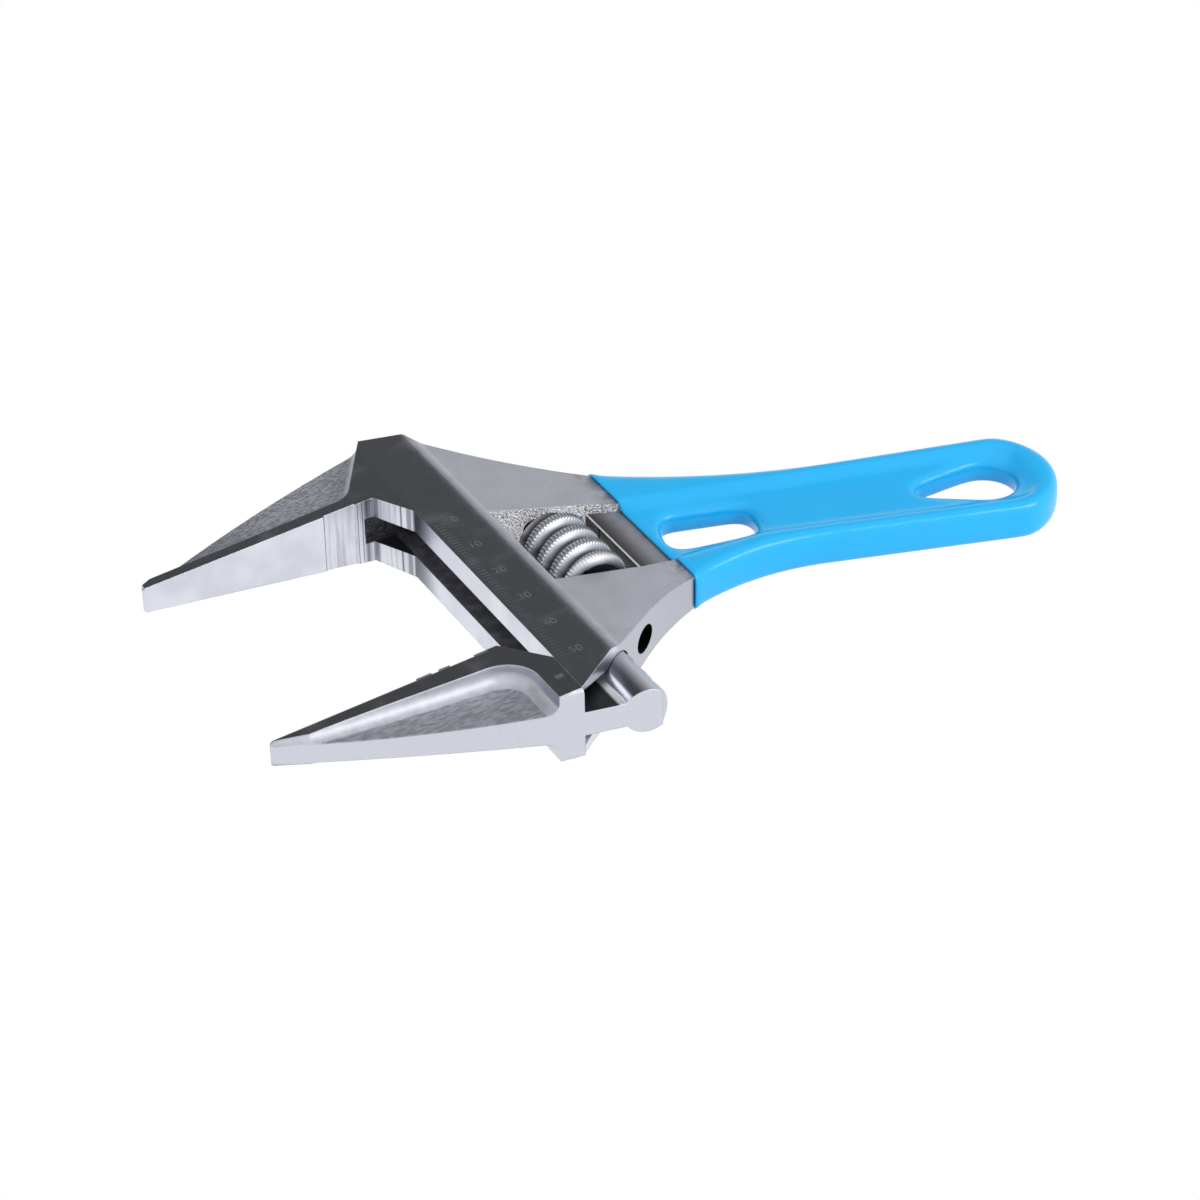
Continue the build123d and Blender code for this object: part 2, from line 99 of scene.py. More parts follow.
# ---------------------------------------------------------------- shader helpers
class Shade:
    """A material's node tree, with short calls for the sums that its masks need."""

    def __init__(self, name):
        self.material = bpy.data.materials.new(name)
        self.material.use_nodes = True
        self.nodes = self.material.node_tree.nodes
        self.links = self.material.node_tree.links
        self.shader = self.nodes["Principled BSDF"]
        spot = self.nodes.new("ShaderNodeTexCoord").outputs["Object"]
        centred = self.vector("SUBTRACT", spot, tuple(ORIGIN))
        scaled = self.nodes.new("ShaderNodeVectorMath")
        scaled.operation = "SCALE"
        self.links.new(centred, scaled.inputs[0])
        scaled.inputs["Scale"].default_value = 1 / MM
        self.spot = scaled.outputs[0]
        split = self.nodes.new("ShaderNodeSeparateXYZ")
        self.links.new(self.spot, split.inputs[0])
        self.x, self.y, self.z = split.outputs
        self.height = self.math("ABSOLUTE", self.z)
        facing = self.nodes.new("ShaderNodeSeparateXYZ")
        self.links.new(self.nodes.new("ShaderNodeNewGeometry").outputs["True Normal"], facing.inputs[0])
        self.facing_up = self.math("ABSOLUTE", facing.outputs[2])

    def feed(self, socket, value):
        if isinstance(value, (int, float, tuple, list)):
            socket.default_value = value
        else:
            self.links.new(value, socket)

    def math(self, operation, *values):
        node = self.nodes.new("ShaderNodeMath")
        node.operation = operation
        for socket, value in zip(node.inputs, values):
            self.feed(socket, value)
        return node.outputs[0]

    def vector(self, operation, *values):
        node = self.nodes.new("ShaderNodeVectorMath")
        node.operation = operation
        for socket, value in zip(node.inputs, values):
            self.feed(socket, value)
        return node.outputs[0]

    def step(self, value, start, end):
        """0 below start and 1 above end, with a smooth rise between them."""
        node = self.nodes.new("ShaderNodeMapRange")
        node.interpolation_type = "SMOOTHSTEP"
        self.feed(node.inputs["Value"], value)
        self.feed(node.inputs["From Min"], start)
        self.feed(node.inputs["From Max"], end)
        return node.outputs["Result"]

    def below(self, value, start, end):
        """1 below start and 0 above end."""
        return self.flip(self.step(value, start, end))

    def between(self, value, start, full, fade, end):
        """Rises from start to full, and falls from fade to end."""
        return self.both(self.step(value, start, full), self.below(value, fade, end))

    def both(self, *masks):
        """Product of the masks, or of a mask and a share."""
        total = masks[0]
        for mask in masks[1:]:
            total = self.math("MULTIPLY", total, mask)
        return total

    def flip(self, mask):
        return self.math("SUBTRACT", 1.0, mask)

    def noise(self, scale, detail=2.0, roughness=0.5, stretch=None):
        """Noise in features per millimetre, drawn out along an axis by stretch."""
        spot = self.spot if stretch is None else self.vector("MULTIPLY", self.spot, stretch)
        node = self.nodes.new("ShaderNodeTexNoise")
        self.links.new(spot, node.inputs["Vector"])
        node.inputs["Scale"].default_value = scale
        node.inputs["Detail"].default_value = detail
        node.inputs["Roughness"].default_value = roughness
        return node.outputs["Fac"]

    def mix(self, mask, low, high):
        """low where the mask is 0 and high where it is 1, for numbers or colours."""
        node = self.nodes.new("ShaderNodeMix")
        colours = isinstance(high, tuple) or getattr(high, "type", "") == "RGBA"
        node.data_type = "RGBA" if colours else "FLOAT"
        slots = [s for s in node.inputs if s.type == ("RGBA" if colours else "VALUE")]
        self.feed(node.inputs[0], mask)
        pair = [s for s in slots if s.name in ("A", "B") and s.enabled]
        self.feed(pair[0], low)
        self.feed(pair[1], high)
        return [s for s in node.outputs if s.enabled][0]

    def bump(self, height, distance, normal=None):
        """Bump from a height in millimetres."""
        node = self.nodes.new("ShaderNodeBump")
        self.feed(node.inputs["Height"], height)
        node.inputs["Distance"].default_value = distance * MM
        if normal is not None:
            self.links.new(normal, node.inputs["Normal"])
        return node.outputs[0]

    def soft_edge(self, radius):
        """Normals that round every edge by a small radius."""
        node = self.nodes.new("ShaderNodeBevel")
        node.samples = 6
        even = isinstance(radius, (int, float))
        self.feed(node.inputs["Radius"], radius * MM if even else self.math("MULTIPLY", radius, MM))
        return node.outputs[0]

    def set(self, name, value):
        self.feed(self.shader.inputs[name], value)


def wear(material, *objects):
    """Gives the material to every slot of the objects."""
    for obj in objects:
        if not obj.material_slots:
            obj.data.materials.append(material)
        for slot in obj.material_slots:
            slot.link = "OBJECT"
            slot.material = material


def hexed(r, g, b):
    """A colour given in screen values from 0 to 255, as linear light."""
    levels = (value / 255 for value in (r, g, b))
    return tuple(c / 12.92 if c <= 0.04 else ((c + 0.055) / 1.055) ** 2.4 for c in levels) + (1.0,)


# ---------------------------------------------------------------- steel of the body and the jaw
FACE_END = 15.2               # where the fixed jaw's long ground face ends, from the slide face
CUTTER_LINES = (7.0, 8.0, 1.5)
# painted shade: darker bands on the fixed jaw's face where its rounded corner and small facets at the
# throat turn from the light
THROAT_SHADE_BANDS = (              # start, end, softness of the ends, tone
    (5.1, 6.95, 0.9, (128, 131, 141)),
    (3.9, 4.95, 0.25, (146, 149, 158)),
    (0.3, 0.95, 0.15, (152, 155, 164)),
)
FLOOR_HEIGHT = 3.0            # just above the floor of the recess behind the window
MOUTH_START = 70.0            # where the slot's mouth begins to flare
MOUTH_HEIGHT = 6.65
WEB_END = -7.6                # where the moving jaw's web meets its round rack


def rim_taper(shade):
    """How far a point is below the ground taper of the jaws and head."""
    fall = (HALF_HEAD - HALF_TIP) / JAW_REACH
    top = shade.math("MULTIPLY_ADD", shade.math("MAXIMUM", shade.x, 0.0), -fall, HALF_HEAD)
    return shade.math("SUBTRACT", top, shade.height)


def ground_flats(shade):
    """Mask of the ground flats that are painted dark for the dark room they reflect: band, jaw rims and
    saddle.
    """
    near = shade.below(rim_taper(shade), 0.15, 0.3)
    return shade.both(near, shade.step(shade.facing_up, 0.9, 0.97))


def smoky(shade):
    """Colour of the ground flats: a painted reflection of a dark room, with pale smudges and faint
    grinding lines.
    """
    smudge = shade.step(shade.noise(0.12, 3.0, 0.55), 0.5, 0.85)
    lines = shade.noise(5.0, 2.0, 0.6, (1.0, 0.06, 1.0))
    dark = shade.mix(lines, hexed(76, 78, 83), hexed(92, 94, 100))
    return shade.mix(smudge, dark, hexed(112, 114, 120))


def from_axis(shade, depth):
    """Distance to the axis along Y that lies this far behind the slide face."""
    across = shade.math("ADD", shade.x, depth)
    squares = shade.math("ADD", shade.math("POWER", across, 2.0), shade.math("POWER", shade.z, 2.0))
    return shade.math("SQRT", squares)


def within(shade, depth, radius):
    """Mask of a bore along Y."""
    return shade.below(from_axis(shade, depth), radius + 0.04, radius + 0.12)


def line_at(shade, value, spot, width):
    """Mask of a thin line where a value passes a spot."""
    away = shade.math("ABSOLUTE", shade.math("SUBTRACT", value, spot))
    return shade.below(away, width * 0.4, width)


def milled_steel(shade, fine):
    """Bright milled faces, with painted shade of the rounded corner and facets round the throat, the
    cutter's lines, rubbed streaks, and painted shade on the slide face beside the throat.
    """
    smears = shade.noise(0.9, 3.0, 0.6, (1.0, 1.0, 0.06))
    scratches = shade.noise(1.6, 3.0, 0.65, (1.0, 1.0, 0.015))
    blotch = shade.noise(0.11, 2.0, 0.5)
    bright = shade.mix(fine, hexed(204, 207, 218), hexed(216, 219, 230))
    bright = shade.mix(shade.step(blotch, 0.35, 0.7), bright, hexed(224, 227, 236))
    jaw_side = shade.below(shade.y, 9.5, 11.0)

    def band(start, end, soft):
        along = shade.between(shade.x, start, start + soft, end - soft, end)
        return shade.both(along, jaw_side)

    smeared = shade.both(band(8.6, FACE_END, 1.6), shade.step(smears, 0.42, 0.7))
    steel = shade.mix(smeared, bright, hexed(182, 185, 195))
    # painted shade of the throat's rounded corner and facets
    for start, end, soft, tone in THROAT_SHADE_BANDS:
        steel = shade.mix(band(start, end, soft), steel, hexed(*tone))
    rubbed = shade.both(band(0.0, 9.0, 0.1), shade.step(scratches, 0.5, 0.66), 0.6)
    steel = shade.mix(rubbed, steel, hexed(150, 153, 162))
    lines = line_at(shade, shade.x, FACE_END, 0.2)
    for spot in CUTTER_LINES:
        lines = shade.math("MAXIMUM", lines, line_at(shade, shade.x, spot, 0.13))
    below_face = shade.both(jaw_side, shade.step(shade.y, -1.0, -0.8))
    steel = shade.mix(shade.both(lines, below_face, 0.8), steel, hexed(92, 94, 102))
    # painted shade: the slide face is darker where it starts beside the throat and fades out away from it
    slide_face_shade = shade.both(shade.between(shade.y, 8.0, 9.0, 9.5, 20.0), line_at(shade, shade.x, 0.0, 0.3))
    return shade.mix(slide_face_shade, steel, hexed(104, 107, 117))


def body_masks(shade, cloud):
    """Masks of the body's surfaces."""
    up = shade.step(shade.facing_up, 0.6, 0.8)
    upright = shade.flip(up)
    wavy = shade.math("MULTIPLY_ADD", shade.math("SUBTRACT", cloud, 0.5), 1.4, shade.x)
    behind_band = shade.below(wavy, -BAND_DEPTH - 3.2, -BAND_DEPTH + 1.4)
    pocket = shade.both(
        shade.step(rim_taper(shade), 0.3, 0.7),
        shade.below(shade.y, -1.8, -1.2),
        shade.step(shade.x, -2.5, -1.0),
    )
    behind_window = shade.below(shade.x, WINDOW_FRONT - 0.2, WINDOW_FRONT + 0.2)
    window = shade.both(upright, behind_window, shade.step(shade.x, -HANDLE_DEPTH - 1.0, -HANDLE_DEPTH))
    back_wall = shade.both(
        line_at(shade, shade.x, WINDOW_BACK, 0.4),
        shade.between(shade.y, 19.0, 19.3, 41.5, 41.9),
    )
    front_wall = shade.both(
        line_at(shade, shade.x, WINDOW_FRONT, 0.4),
        shade.between(shade.y, 15.2, 15.5, 44.0, 44.5),
    )
    behind_face = shade.below(shade.x, -0.15, -0.05)
    in_slot = shade.both(
        shade.below(shade.height, SLOT_HALF + 0.03, SLOT_HALF + 0.08),
        shade.between(shade.x, -RACK_DEPTH - 0.2, -RACK_DEPTH, 6.9, 7.0),
        shade.math("MAXIMUM", behind_face, shade.below(shade.y, -0.1, -0.02)),
        shade.step(shade.y, -2.5, -2.3),
    )
    mouth = shade.both(
        shade.step(shade.facing_up, 0.04, 0.12),
        shade.step(shade.y, MOUTH_START, MOUTH_START + 0.4),
        shade.between(shade.x, -14.0, -13.5, -0.02, 0.0),
        shade.below(shade.height, MOUTH_HEIGHT - 0.03, MOUTH_HEIGHT + 0.03),
    )
    bores = (within(shade, RACK_DEPTH, RACK_BORE), within(shade, WORM_DEPTH, PIN_HOLE))
    return SimpleNamespace(
        flats=ground_flats(shade),
        up=up,
        upright=upright,
        behind_band=behind_band,
        flank=shade.both(upright, shade.below(shade.x, -14.0, -11.0)),
        recess=shade.both(shade.below(shade.height, FLOOR_HEIGHT, FLOOR_HEIGHT + 0.3), up, behind_band),
        pocket=pocket,
        cove=shade.both(pocket, shade.below(shade.facing_up, 0.8, 0.98)),
        cast_wall=shade.both(window, shade.between(shade.y, 11.0, 12.0, 24.0, 25.0)),
        # painted shadow: the window's front and back walls, which lie in shadow, are made near-black
        black_walls=shade.both(shade.math("MAXIMUM", back_wall, front_wall), upright),
        in_slot=in_slot,
        mouth=mouth,
        deep=shade.math("MAXIMUM", *bores),
    )


def blasted_steel(shade, cloud, speck):
    """Pale blasted neck, hazy and speckled, and coarser beside the sleeve."""
    haze = shade.noise(0.16, 3.0, 0.55)
    blast = shade.mix(haze, hexed(178, 181, 190), hexed(200, 203, 212))
    grain = shade.mix(haze, hexed(190, 193, 202), hexed(212, 215, 223))
    blast = shade.mix(shade.step(speck, 0.35, 0.7), blast, grain)
    coarse = shade.both(shade.below(shade.x, -39.0, -34.0), shade.step(cloud, 0.35, 0.65))
    return shade.mix(coarse, blast, hexed(150, 153, 161))


def recess_floor(shade, cloud):
    """Floor behind the window: grey, with painted shadow darkening it towards the window and a painted
    highlight along its rim.
    """
    shadow = shade.step(shade.x, -37.5, WINDOW_BACK - 0.4)
    grey = shade.mix(cloud, hexed(150, 151, 157), hexed(184, 185, 191))
    floor = shade.mix(shadow, grey, hexed(84, 84, 89))
    # painted highlight: a bright line along the floor's rim at the window
    return shade.mix(line_at(shade, shade.x, WINDOW_BACK - 0.2, 0.32), floor, hexed(236, 238, 242))


def rough_cast_steel(shade, cast, cove):
    """Rippled pocket of the fixed jaw, darker towards the tip, with a painted highlight on its rounded
    cove.
    """
    steel = shade.mix(shade.step(cast, 0.38, 0.62), hexed(130, 133, 141), hexed(166, 169, 178))
    steel = shade.mix(shade.both(shade.step(shade.x, 14.0, 44.0), 0.7), steel, hexed(112, 115, 122))
    # painted highlight on the rounded cove by the rim
    return shade.mix(cove, steel, hexed(192, 195, 204))


def make_forged_steel():
    """Body: ground flats painted dark as a reflection, blasted neck, rough cast recesses and milled faces,
    with painted shadow in the bores, slot and window walls and painted light and shadow in the mouth.
    """
    shade = Shade("forged_steel")
    cloud = shade.noise(0.45, 4.0, 0.6)
    speck = shade.noise(3.4, 3.0, 0.7)
    cast = shade.noise(1.9, 3.0, 0.55, (0.5, 1.0, 1.0))
    glitter = shade.noise(1.9, 3.0, 0.7)
    fine = shade.noise(6.0, 2.0, 0.6, (1.0, 1.0, 0.03))
    on = body_masks(shade, cloud)

    milled = shade.mix(on.flank, milled_steel(shade, fine), hexed(186, 189, 199))
    # painted reflection: the body's ground flats are darkened for the dark room that they reflect
    ground = smoky(shade)
    top = shade.mix(on.behind_band, ground, blasted_steel(shade, cloud, speck))
    steel = shade.mix(on.up, milled, top)
    steel = shade.mix(on.recess, steel, recess_floor(shade, cloud))
    steel = shade.mix(on.pocket, steel, rough_cast_steel(shade, cast, on.cove))
    sparkle = shade.mix(shade.step(glitter, 0.35, 0.46), hexed(120, 122, 129), hexed(250, 251, 255))
    steel = shade.mix(on.cast_wall, steel, sparkle)
    # painted shadow on the window's front and back walls
    steel = shade.mix(on.black_walls, steel, hexed(20, 20, 22))
    crisp = shade.both(on.flats, shade.step(shade.x, -BAND_DEPTH + 2.0, -BAND_DEPTH + 3.0))
    steel = shade.mix(crisp, steel, ground)
    # painted shade: the inside of the slot is darker than the faces outside it
    slot_shade = shade.mix(shade.step(cloud, 0.4, 0.7), hexed(92, 93, 99), hexed(124, 125, 132))
    steel = shade.mix(on.in_slot, steel, slot_shade)
    # painted light and shadow: the mouth's roof is lit near its lip and black deeper in, where it lies in
    # shadow
    lip = shade.step(shade.height, 3.3, 4.5)
    steel = shade.mix(on.mouth, steel, shade.mix(lip, hexed(16, 16, 17), hexed(204, 206, 214)))
    # painted shadow: the rack bore and the pin hole are made dark
    shade.set("Base Color", shade.mix(on.deep, steel, hexed(30, 31, 34)))
    shade.set("Metallic", shade.flip(shade.both(on.in_slot, 0.5)))

    rough = shade.mix(on.up, shade.mix(fine, 0.24, 0.32), 0.52)
    rough = shade.mix(on.pocket, rough, 0.42)
    rough = shade.mix(on.cast_wall, rough, 0.2)
    rough = shade.mix(on.flats, rough, shade.mix(fine, 0.34, 0.44))
    shade.set("Roughness", shade.mix(shade.math("MAXIMUM", on.in_slot, on.deep), rough, 0.6))

    height = shade.both(cast, on.pocket, 0.9)
    for relief in ((glitter, on.cast_wall, 0.9), (speck, on.up, 0.05), (fine, on.upright, 0.008)):
        height = shade.math("ADD", height, shade.both(*relief))
    shade.set("Normal", shade.bump(height, 1.0, shade.soft_edge(0.35)))
    return shade.material


def scoop_mask(shade, up):
    """Mask of the moving jaw's scoops, with the rolled shoulder round them."""
    ahead = shade.step(shade.x, 4.9, 5.4)
    taper = rim_taper(shade)
    hollow = shade.both(shade.step(taper, 0.1, 0.4), ahead, up)
    shoulder = shade.both(
        ahead,
        shade.between(taper, 0.02, 0.06, 0.9, 1.1),
        shade.below(shade.facing_up, 0.93, 0.97),
    )
    return shade.math("MAXIMUM", hollow, shoulder)


def make_jaw_steel():
    """Moving jaw: ground flats painted dark as a reflection, polished scoops, a web painted dark as shade,
    a turned rack with a painted shaded side and a painted highlight on its fillet, and satin sides.
    """
    shade = Shade("polished_steel")
    flats = ground_flats(shade)
    up = shade.step(shade.facing_up, 0.1, 0.2)
    scoop = scoop_mask(shade, up)
    behind = shade.both(shade.below(shade.x, -0.05, 0.05), up)
    rack = shade.both(behind, shade.below(shade.x, WEB_END, WEB_END + 0.5))
    web_foot = shade.between(shade.x, WEB_END - 1.8, WEB_END - 1.0, WEB_END + 0.6, WEB_END + 1.4)
    fillet = shade.both(behind, web_foot)
    fine = shade.noise(5.0, 2.0, 0.6, (1.0, 1.0, 0.05))
    cloud = shade.noise(0.35, 4.0, 0.6)
    brushed = shade.noise(1.6, 3.0, 0.6, (0.3, 1.0, 1.0))

    satin = shade.mix(fine, hexed(204, 207, 217), hexed(215, 218, 228))
    polish = shade.mix(shade.step(cloud, 0.3, 0.75), hexed(192, 194, 202), hexed(208, 210, 217))
    rubbed = shade.mix(shade.step(brushed, 0.35, 0.65), hexed(150, 152, 160), hexed(184, 186, 194))
    polish = shade.mix(shade.step(shade.facing_up, 0.985, 0.998), polish, rubbed)
    steel = shade.mix(scoop, satin, polish)
    # painted shade: the web's top under the body is made dark for its shadow and for the dark body that it
    # reflects
    steel = shade.mix(behind, steel, shade.mix(cloud, hexed(44, 45, 48), hexed(70, 71, 75)))
    # painted shade: one side of the round rack is darker, as if turned from the light
    painted_shade_side = shade.step(shade.x, -13.2, -10.2)
    steel = shade.mix(rack, steel, shade.mix(painted_shade_side, hexed(204, 206, 213), hexed(84, 86, 92)))
    # painted highlight along the fillet between the web and the rack
    steel = shade.mix(fillet, steel, hexed(236, 238, 244))
    # painted reflection: the jaw's ground flats are darkened for the dark room that they reflect
    steel = shade.mix(flats, steel, smoky(shade))
    proud = shade.below(shade.y, JAW_OPENING + 0.5, JAW_OPENING + 0.7)
    pad_tops = shade.both(up, shade.step(shade.x, 9.0, 9.2), proud)
    steel = shade.mix(pad_tops, steel, hexed(138, 140, 147))
    mark = shade.both(up, line_at(shade, shade.x, 1.9, 1.1), line_at(shade, shade.y, 71.2, 0.8))
    shade.set("Base Color", shade.mix(shade.both(mark, 0.55), steel, hexed(158, 160, 166)))
    shade.set("Metallic", 1.0)

    rough = shade.mix(scoop, shade.mix(fine, 0.28, 0.36), shade.mix(cloud, 0.46, 0.56))
    rough = shade.mix(behind, rough, 0.42)
    shade.set("Roughness", shade.mix(flats, rough, 0.38))
    height = shade.math("ADD", shade.both(cloud, scoop, 0.02), shade.both(fine, 0.006))
    rounding = shade.math("MULTIPLY_ADD", scoop, 0.5, 0.35)
    shade.set("Normal", shade.bump(height, 1.0, shade.soft_edge(rounding)))
    return shade.material


def make_worm_steel():
    """Worm: grey knurled crests and bright flanks, with painted shade darkening the flanks into the
    grooves.
    """
    shade = Shade("worm_steel")
    reach = from_axis(shade, WORM_DEPTH)
    crest = shade.step(reach, WORM_RADIUS - 0.28, WORM_RADIUS - 0.1)
    rise = shade.step(reach, WORM_RADIUS - THREAD_DEPTH, WORM_RADIUS - 0.5)
    fine = shade.noise(2.5, 3.0, 0.6)
    bright = shade.mix(fine, hexed(200, 202, 209), hexed(218, 220, 226))
    # painted shade: the flanks darken towards the bottom of the grooves
    flank = shade.mix(rise, hexed(64, 65, 70), bright)
    knurl = shade.mix(fine, hexed(112, 114, 121), hexed(140, 142, 149))
    shade.set("Base Color", shade.mix(crest, flank, knurl))
    shade.set("Metallic", 1.0)
    shade.set("Roughness", shade.mix(fine, 0.4, 0.48))
    shade.set("Normal", shade.bump(shade.math("MULTIPLY", fine, 0.01), 1.0))
    return shade.material


def make_pin_steel():
    """Pin and spring: oiled dull steel."""
    shade = Shade("pin_steel")
    fine = shade.noise(2.0, 3.0, 0.6)
    shade.set("Base Color", shade.mix(fine, hexed(52, 53, 57), hexed(84, 86, 92)))
    shade.set("Metallic", 1.0)
    shade.set("Roughness", shade.mix(fine, 0.4, 0.5))
    shade.set("Normal", shade.bump(shade.math("MULTIPLY", fine, 0.01), 1.0))
    return shade.material


def make_blue_vinyl():
    """Dipped vinyl: even blue, glossy, with the soft waviness of a dipped skin."""
    shade = Shade("blue_vinyl")
    wave = shade.noise(0.09, 2.0, 0.5)
    skin = shade.noise(1.2, 2.0, 0.5)
    shade.set("Base Color", shade.mix(wave, hexed(16, 174, 238), hexed(24, 179, 242)))
    shade.set("Roughness", shade.mix(skin, 0.2, 0.27))
    shade.set("Specular IOR Level", 0.45)
    height = shade.math("ADD", shade.math("MULTIPLY", wave, 0.4), shade.math("MULTIPLY", skin, 0.008))
    shade.set("Normal", shade.bump(height, 1.0))
    return shade.material


# ---------------------------------------------------------------- dipped sleeve
SKIN_VOXEL = 0.4
SKIN_PASSES = 120
LIP_LENGTH = 2.2              # the sleeve's front edge, which is smoothed less
LIP_SHARE = 0.12              # how much of the smoothing the very edge gets


def make_skin(grip):
    """The sleeve with its edges melted soft, as dipping leaves them."""
    skin = bpy.data.objects.new("grip_skin", grip.data.copy())
    bpy.context.scene.collection.objects.link(skin)
    even = skin.modifiers.new("even", "REMESH")
    even.mode = "VOXEL"
    even.voxel_size = SKIN_VOXEL * MM
    bake(skin)
    lip = ORIGIN.x - (HANDLE_DEPTH + LIP_LENGTH) * MM
    free = skin.vertex_groups.new(name="free")
    for vertex in skin.data.vertices:
        ahead = (vertex.co.x - lip) / (LIP_LENGTH * MM)
        free.add([vertex.index], min(max(1.0 - ahead, LIP_SHARE), 1.0), "REPLACE")
    melt = skin.modifiers.new("melt", "SMOOTH")
    melt.factor = 0.5
    melt.iterations = SKIN_PASSES
    melt.vertex_group = "free"
    bake(skin)
    skin.data.polygons.foreach_set("use_smooth", [True] * len(skin.data.polygons))
    return skin


def bake(obj):
    """Applies the object's modifiers to its mesh."""
    bpy.context.view_layer.update()
    done = obj.evaluated_get(bpy.context.evaluated_depsgraph_get())
    mesh = bpy.data.meshes.new_from_object(done)
    obj.modifiers.clear()
    obj.data = mesh


# ---------------------------------------------------------------- knurled worm
TEETH = 60                    # knurl teeth round the crest
TOOTH_STEPS = 6
TOOTH_DEPTH = 0.5


def thread_profile():
    """One pitch of the thread, from the middle of a groove to the next: (along, radius)."""
    half_pitch = WORM_PITCH / 2
    half_groove = half_pitch - THREAD_CREST / 2
    flank = []
    for share in (0.0, 0.2, 0.4, 0.6, 0.75, 0.87, 0.94, 1.0):
        flank.append((half_pitch - half_groove * share, WORM_RADIUS - THREAD_DEPTH * (1 - share**2)))
    side = flank + [(THREAD_CREST / 4, WORM_RADIUS), (0.0, WORM_RADIUS)]
    return [(-along, radius) for along, radius in side] + side[-2::-1]


def make_worm():
    """The worm's thread as one helical skin, with a straight knurl on its crest and two end faces."""
    profile = thread_profile()
    steps = TEETH * TOOTH_STEPS
    turns = int(WORM_LENGTH / WORM_PITCH) + 4
    end_bevel = THREAD_DEPTH - 0.1
    vertices = []
    for i in range(turns * steps + 1):
        angle = 2 * pi * i / steps
        phase = i % TOOTH_STEPS / TOOTH_STEPS
        knurl = WORM_RADIUS - TOOTH_DEPTH * (1 - abs(2 * phase - 1))
        middle = THREAD_LEAD_IN - 2 * WORM_PITCH + WORM_PITCH * i / steps
        for along, radius in profile:
            y = min(max(middle + along, 0.0), WORM_LENGTH)
            cone = WORM_RADIUS - end_bevel + min(y, WORM_LENGTH - y)
            r = min(radius, knurl, cone)
            vertices.append(place(-WORM_DEPTH + r * cos(angle), WORM_START + y, -r * sin(angle)))
    row = len(profile)
    faces = []
    for i in range(turns * steps):
        for j in range(row - 1):
            a = i * row + j
            faces.append((a, a + 1, a + row + 1, a + row))
    for y, inner, flipped in ((0.0, PIN_BORE_RADIUS, False), (WORM_LENGTH, SPRING_POCKET_RADIUS, True)):
        first = len(vertices)
        outer = WORM_RADIUS - end_bevel
        for i in range(steps):
            angle = 2 * pi * i / steps
            for r in (inner, outer):
                vertices.append(place(-WORM_DEPTH + r * cos(angle), WORM_START + y, -r * sin(angle)))
        for i in range(steps):
            a, b = first + 2 * i, first + 2 * ((i + 1) % steps)
            quad = (a, a + 1, b + 1, b)
            faces.append(quad[::-1] if flipped else quad)
    return new_mesh("worm_knurled", vertices, faces)


# ---------------------------------------------------------------- scale on the band
SCALE_ZERO = 15.94            # the zero line's place along the slide
SCALE_END = 50
SCALE_LIFT = 0.0015           # keeps the scale clear of the band that it lies on
LINE_START = -0.9
LINE_HALF_WIDTH = 0.09
NUMBER_SIZE = 2.8
NUMBER_EDGE = -6.2
NUMBER_SHIFT = -0.6


def make_scale():
    """Millimetre lines along the slide edge and a number at every ten."""
    top = HALF_HEAD + SCALE_LIFT
    vertices, faces = [], []
    for mark in range(SCALE_END + 1):
        length = 2.4 if mark % 10 == 0 else 2.1 if mark % 5 == 0 else 1.7
        near, far = SCALE_ZERO + mark - LINE_HALF_WIDTH, SCALE_ZERO + mark + LINE_HALF_WIDTH
        end = LINE_START - length
        first = len(vertices)
        corners = ((LINE_START, near), (end, near), (end, far), (LINE_START, far))
        vertices += [place(x, y, top) for x, y in corners]
        faces.append((first, first + 3, first + 2, first + 1))
    pieces = [new_mesh("scale_lines", vertices, faces, smooth=False)]
    for mark in range(0, SCALE_END + 1, 10):
        text = bpy.data.curves.new(f"scale_number_{mark}", "FONT")
        text.body = str(mark)
        text.size = NUMBER_SIZE * MM
        text.align_x = "RIGHT"
        text.align_y = "CENTER"
        number = bpy.data.objects.new(f"scale_number_{mark}", text)
        bpy.context.scene.collection.objects.link(number)
        number.location = place(NUMBER_EDGE, SCALE_ZERO + mark + NUMBER_SHIFT, top)
        number.rotation_euler = (0, 0, pi)
        pieces.append(number)
    return pieces


def make_scale_ink():
    """Etched marks, fainter towards the open end."""
    shade = Shade("scale_etch")
    fading = shade.step(shade.y, 20.0, 60.0)
    ink = shade.mix(fading, hexed(142, 144, 151), hexed(108, 110, 116))
    patchy = shade.step(shade.noise(2.0), 0.3, 0.7)
    shade.set("Base Color", shade.mix(patchy, ink, hexed(104, 106, 112)))
    shade.set("Metallic", 1.0)
    shade.set("Roughness", 0.5)
    return shade.material


# ---------------------------------------------------------------- studio
ROOM_DIMMING = 0.6            # how much darker the room is than the white around it
FLOOR_HALF = 4.0              # metres
PAPER = 0.9
LAMP_SPOT = (-375, 578, 490)
LAMP_AIM = (-60, 30, 0)
LAMP_WIDTH = 0.5              # metres
LAMP_HEIGHT = 0.3             # metres
LAMP_WATTS = 2.2


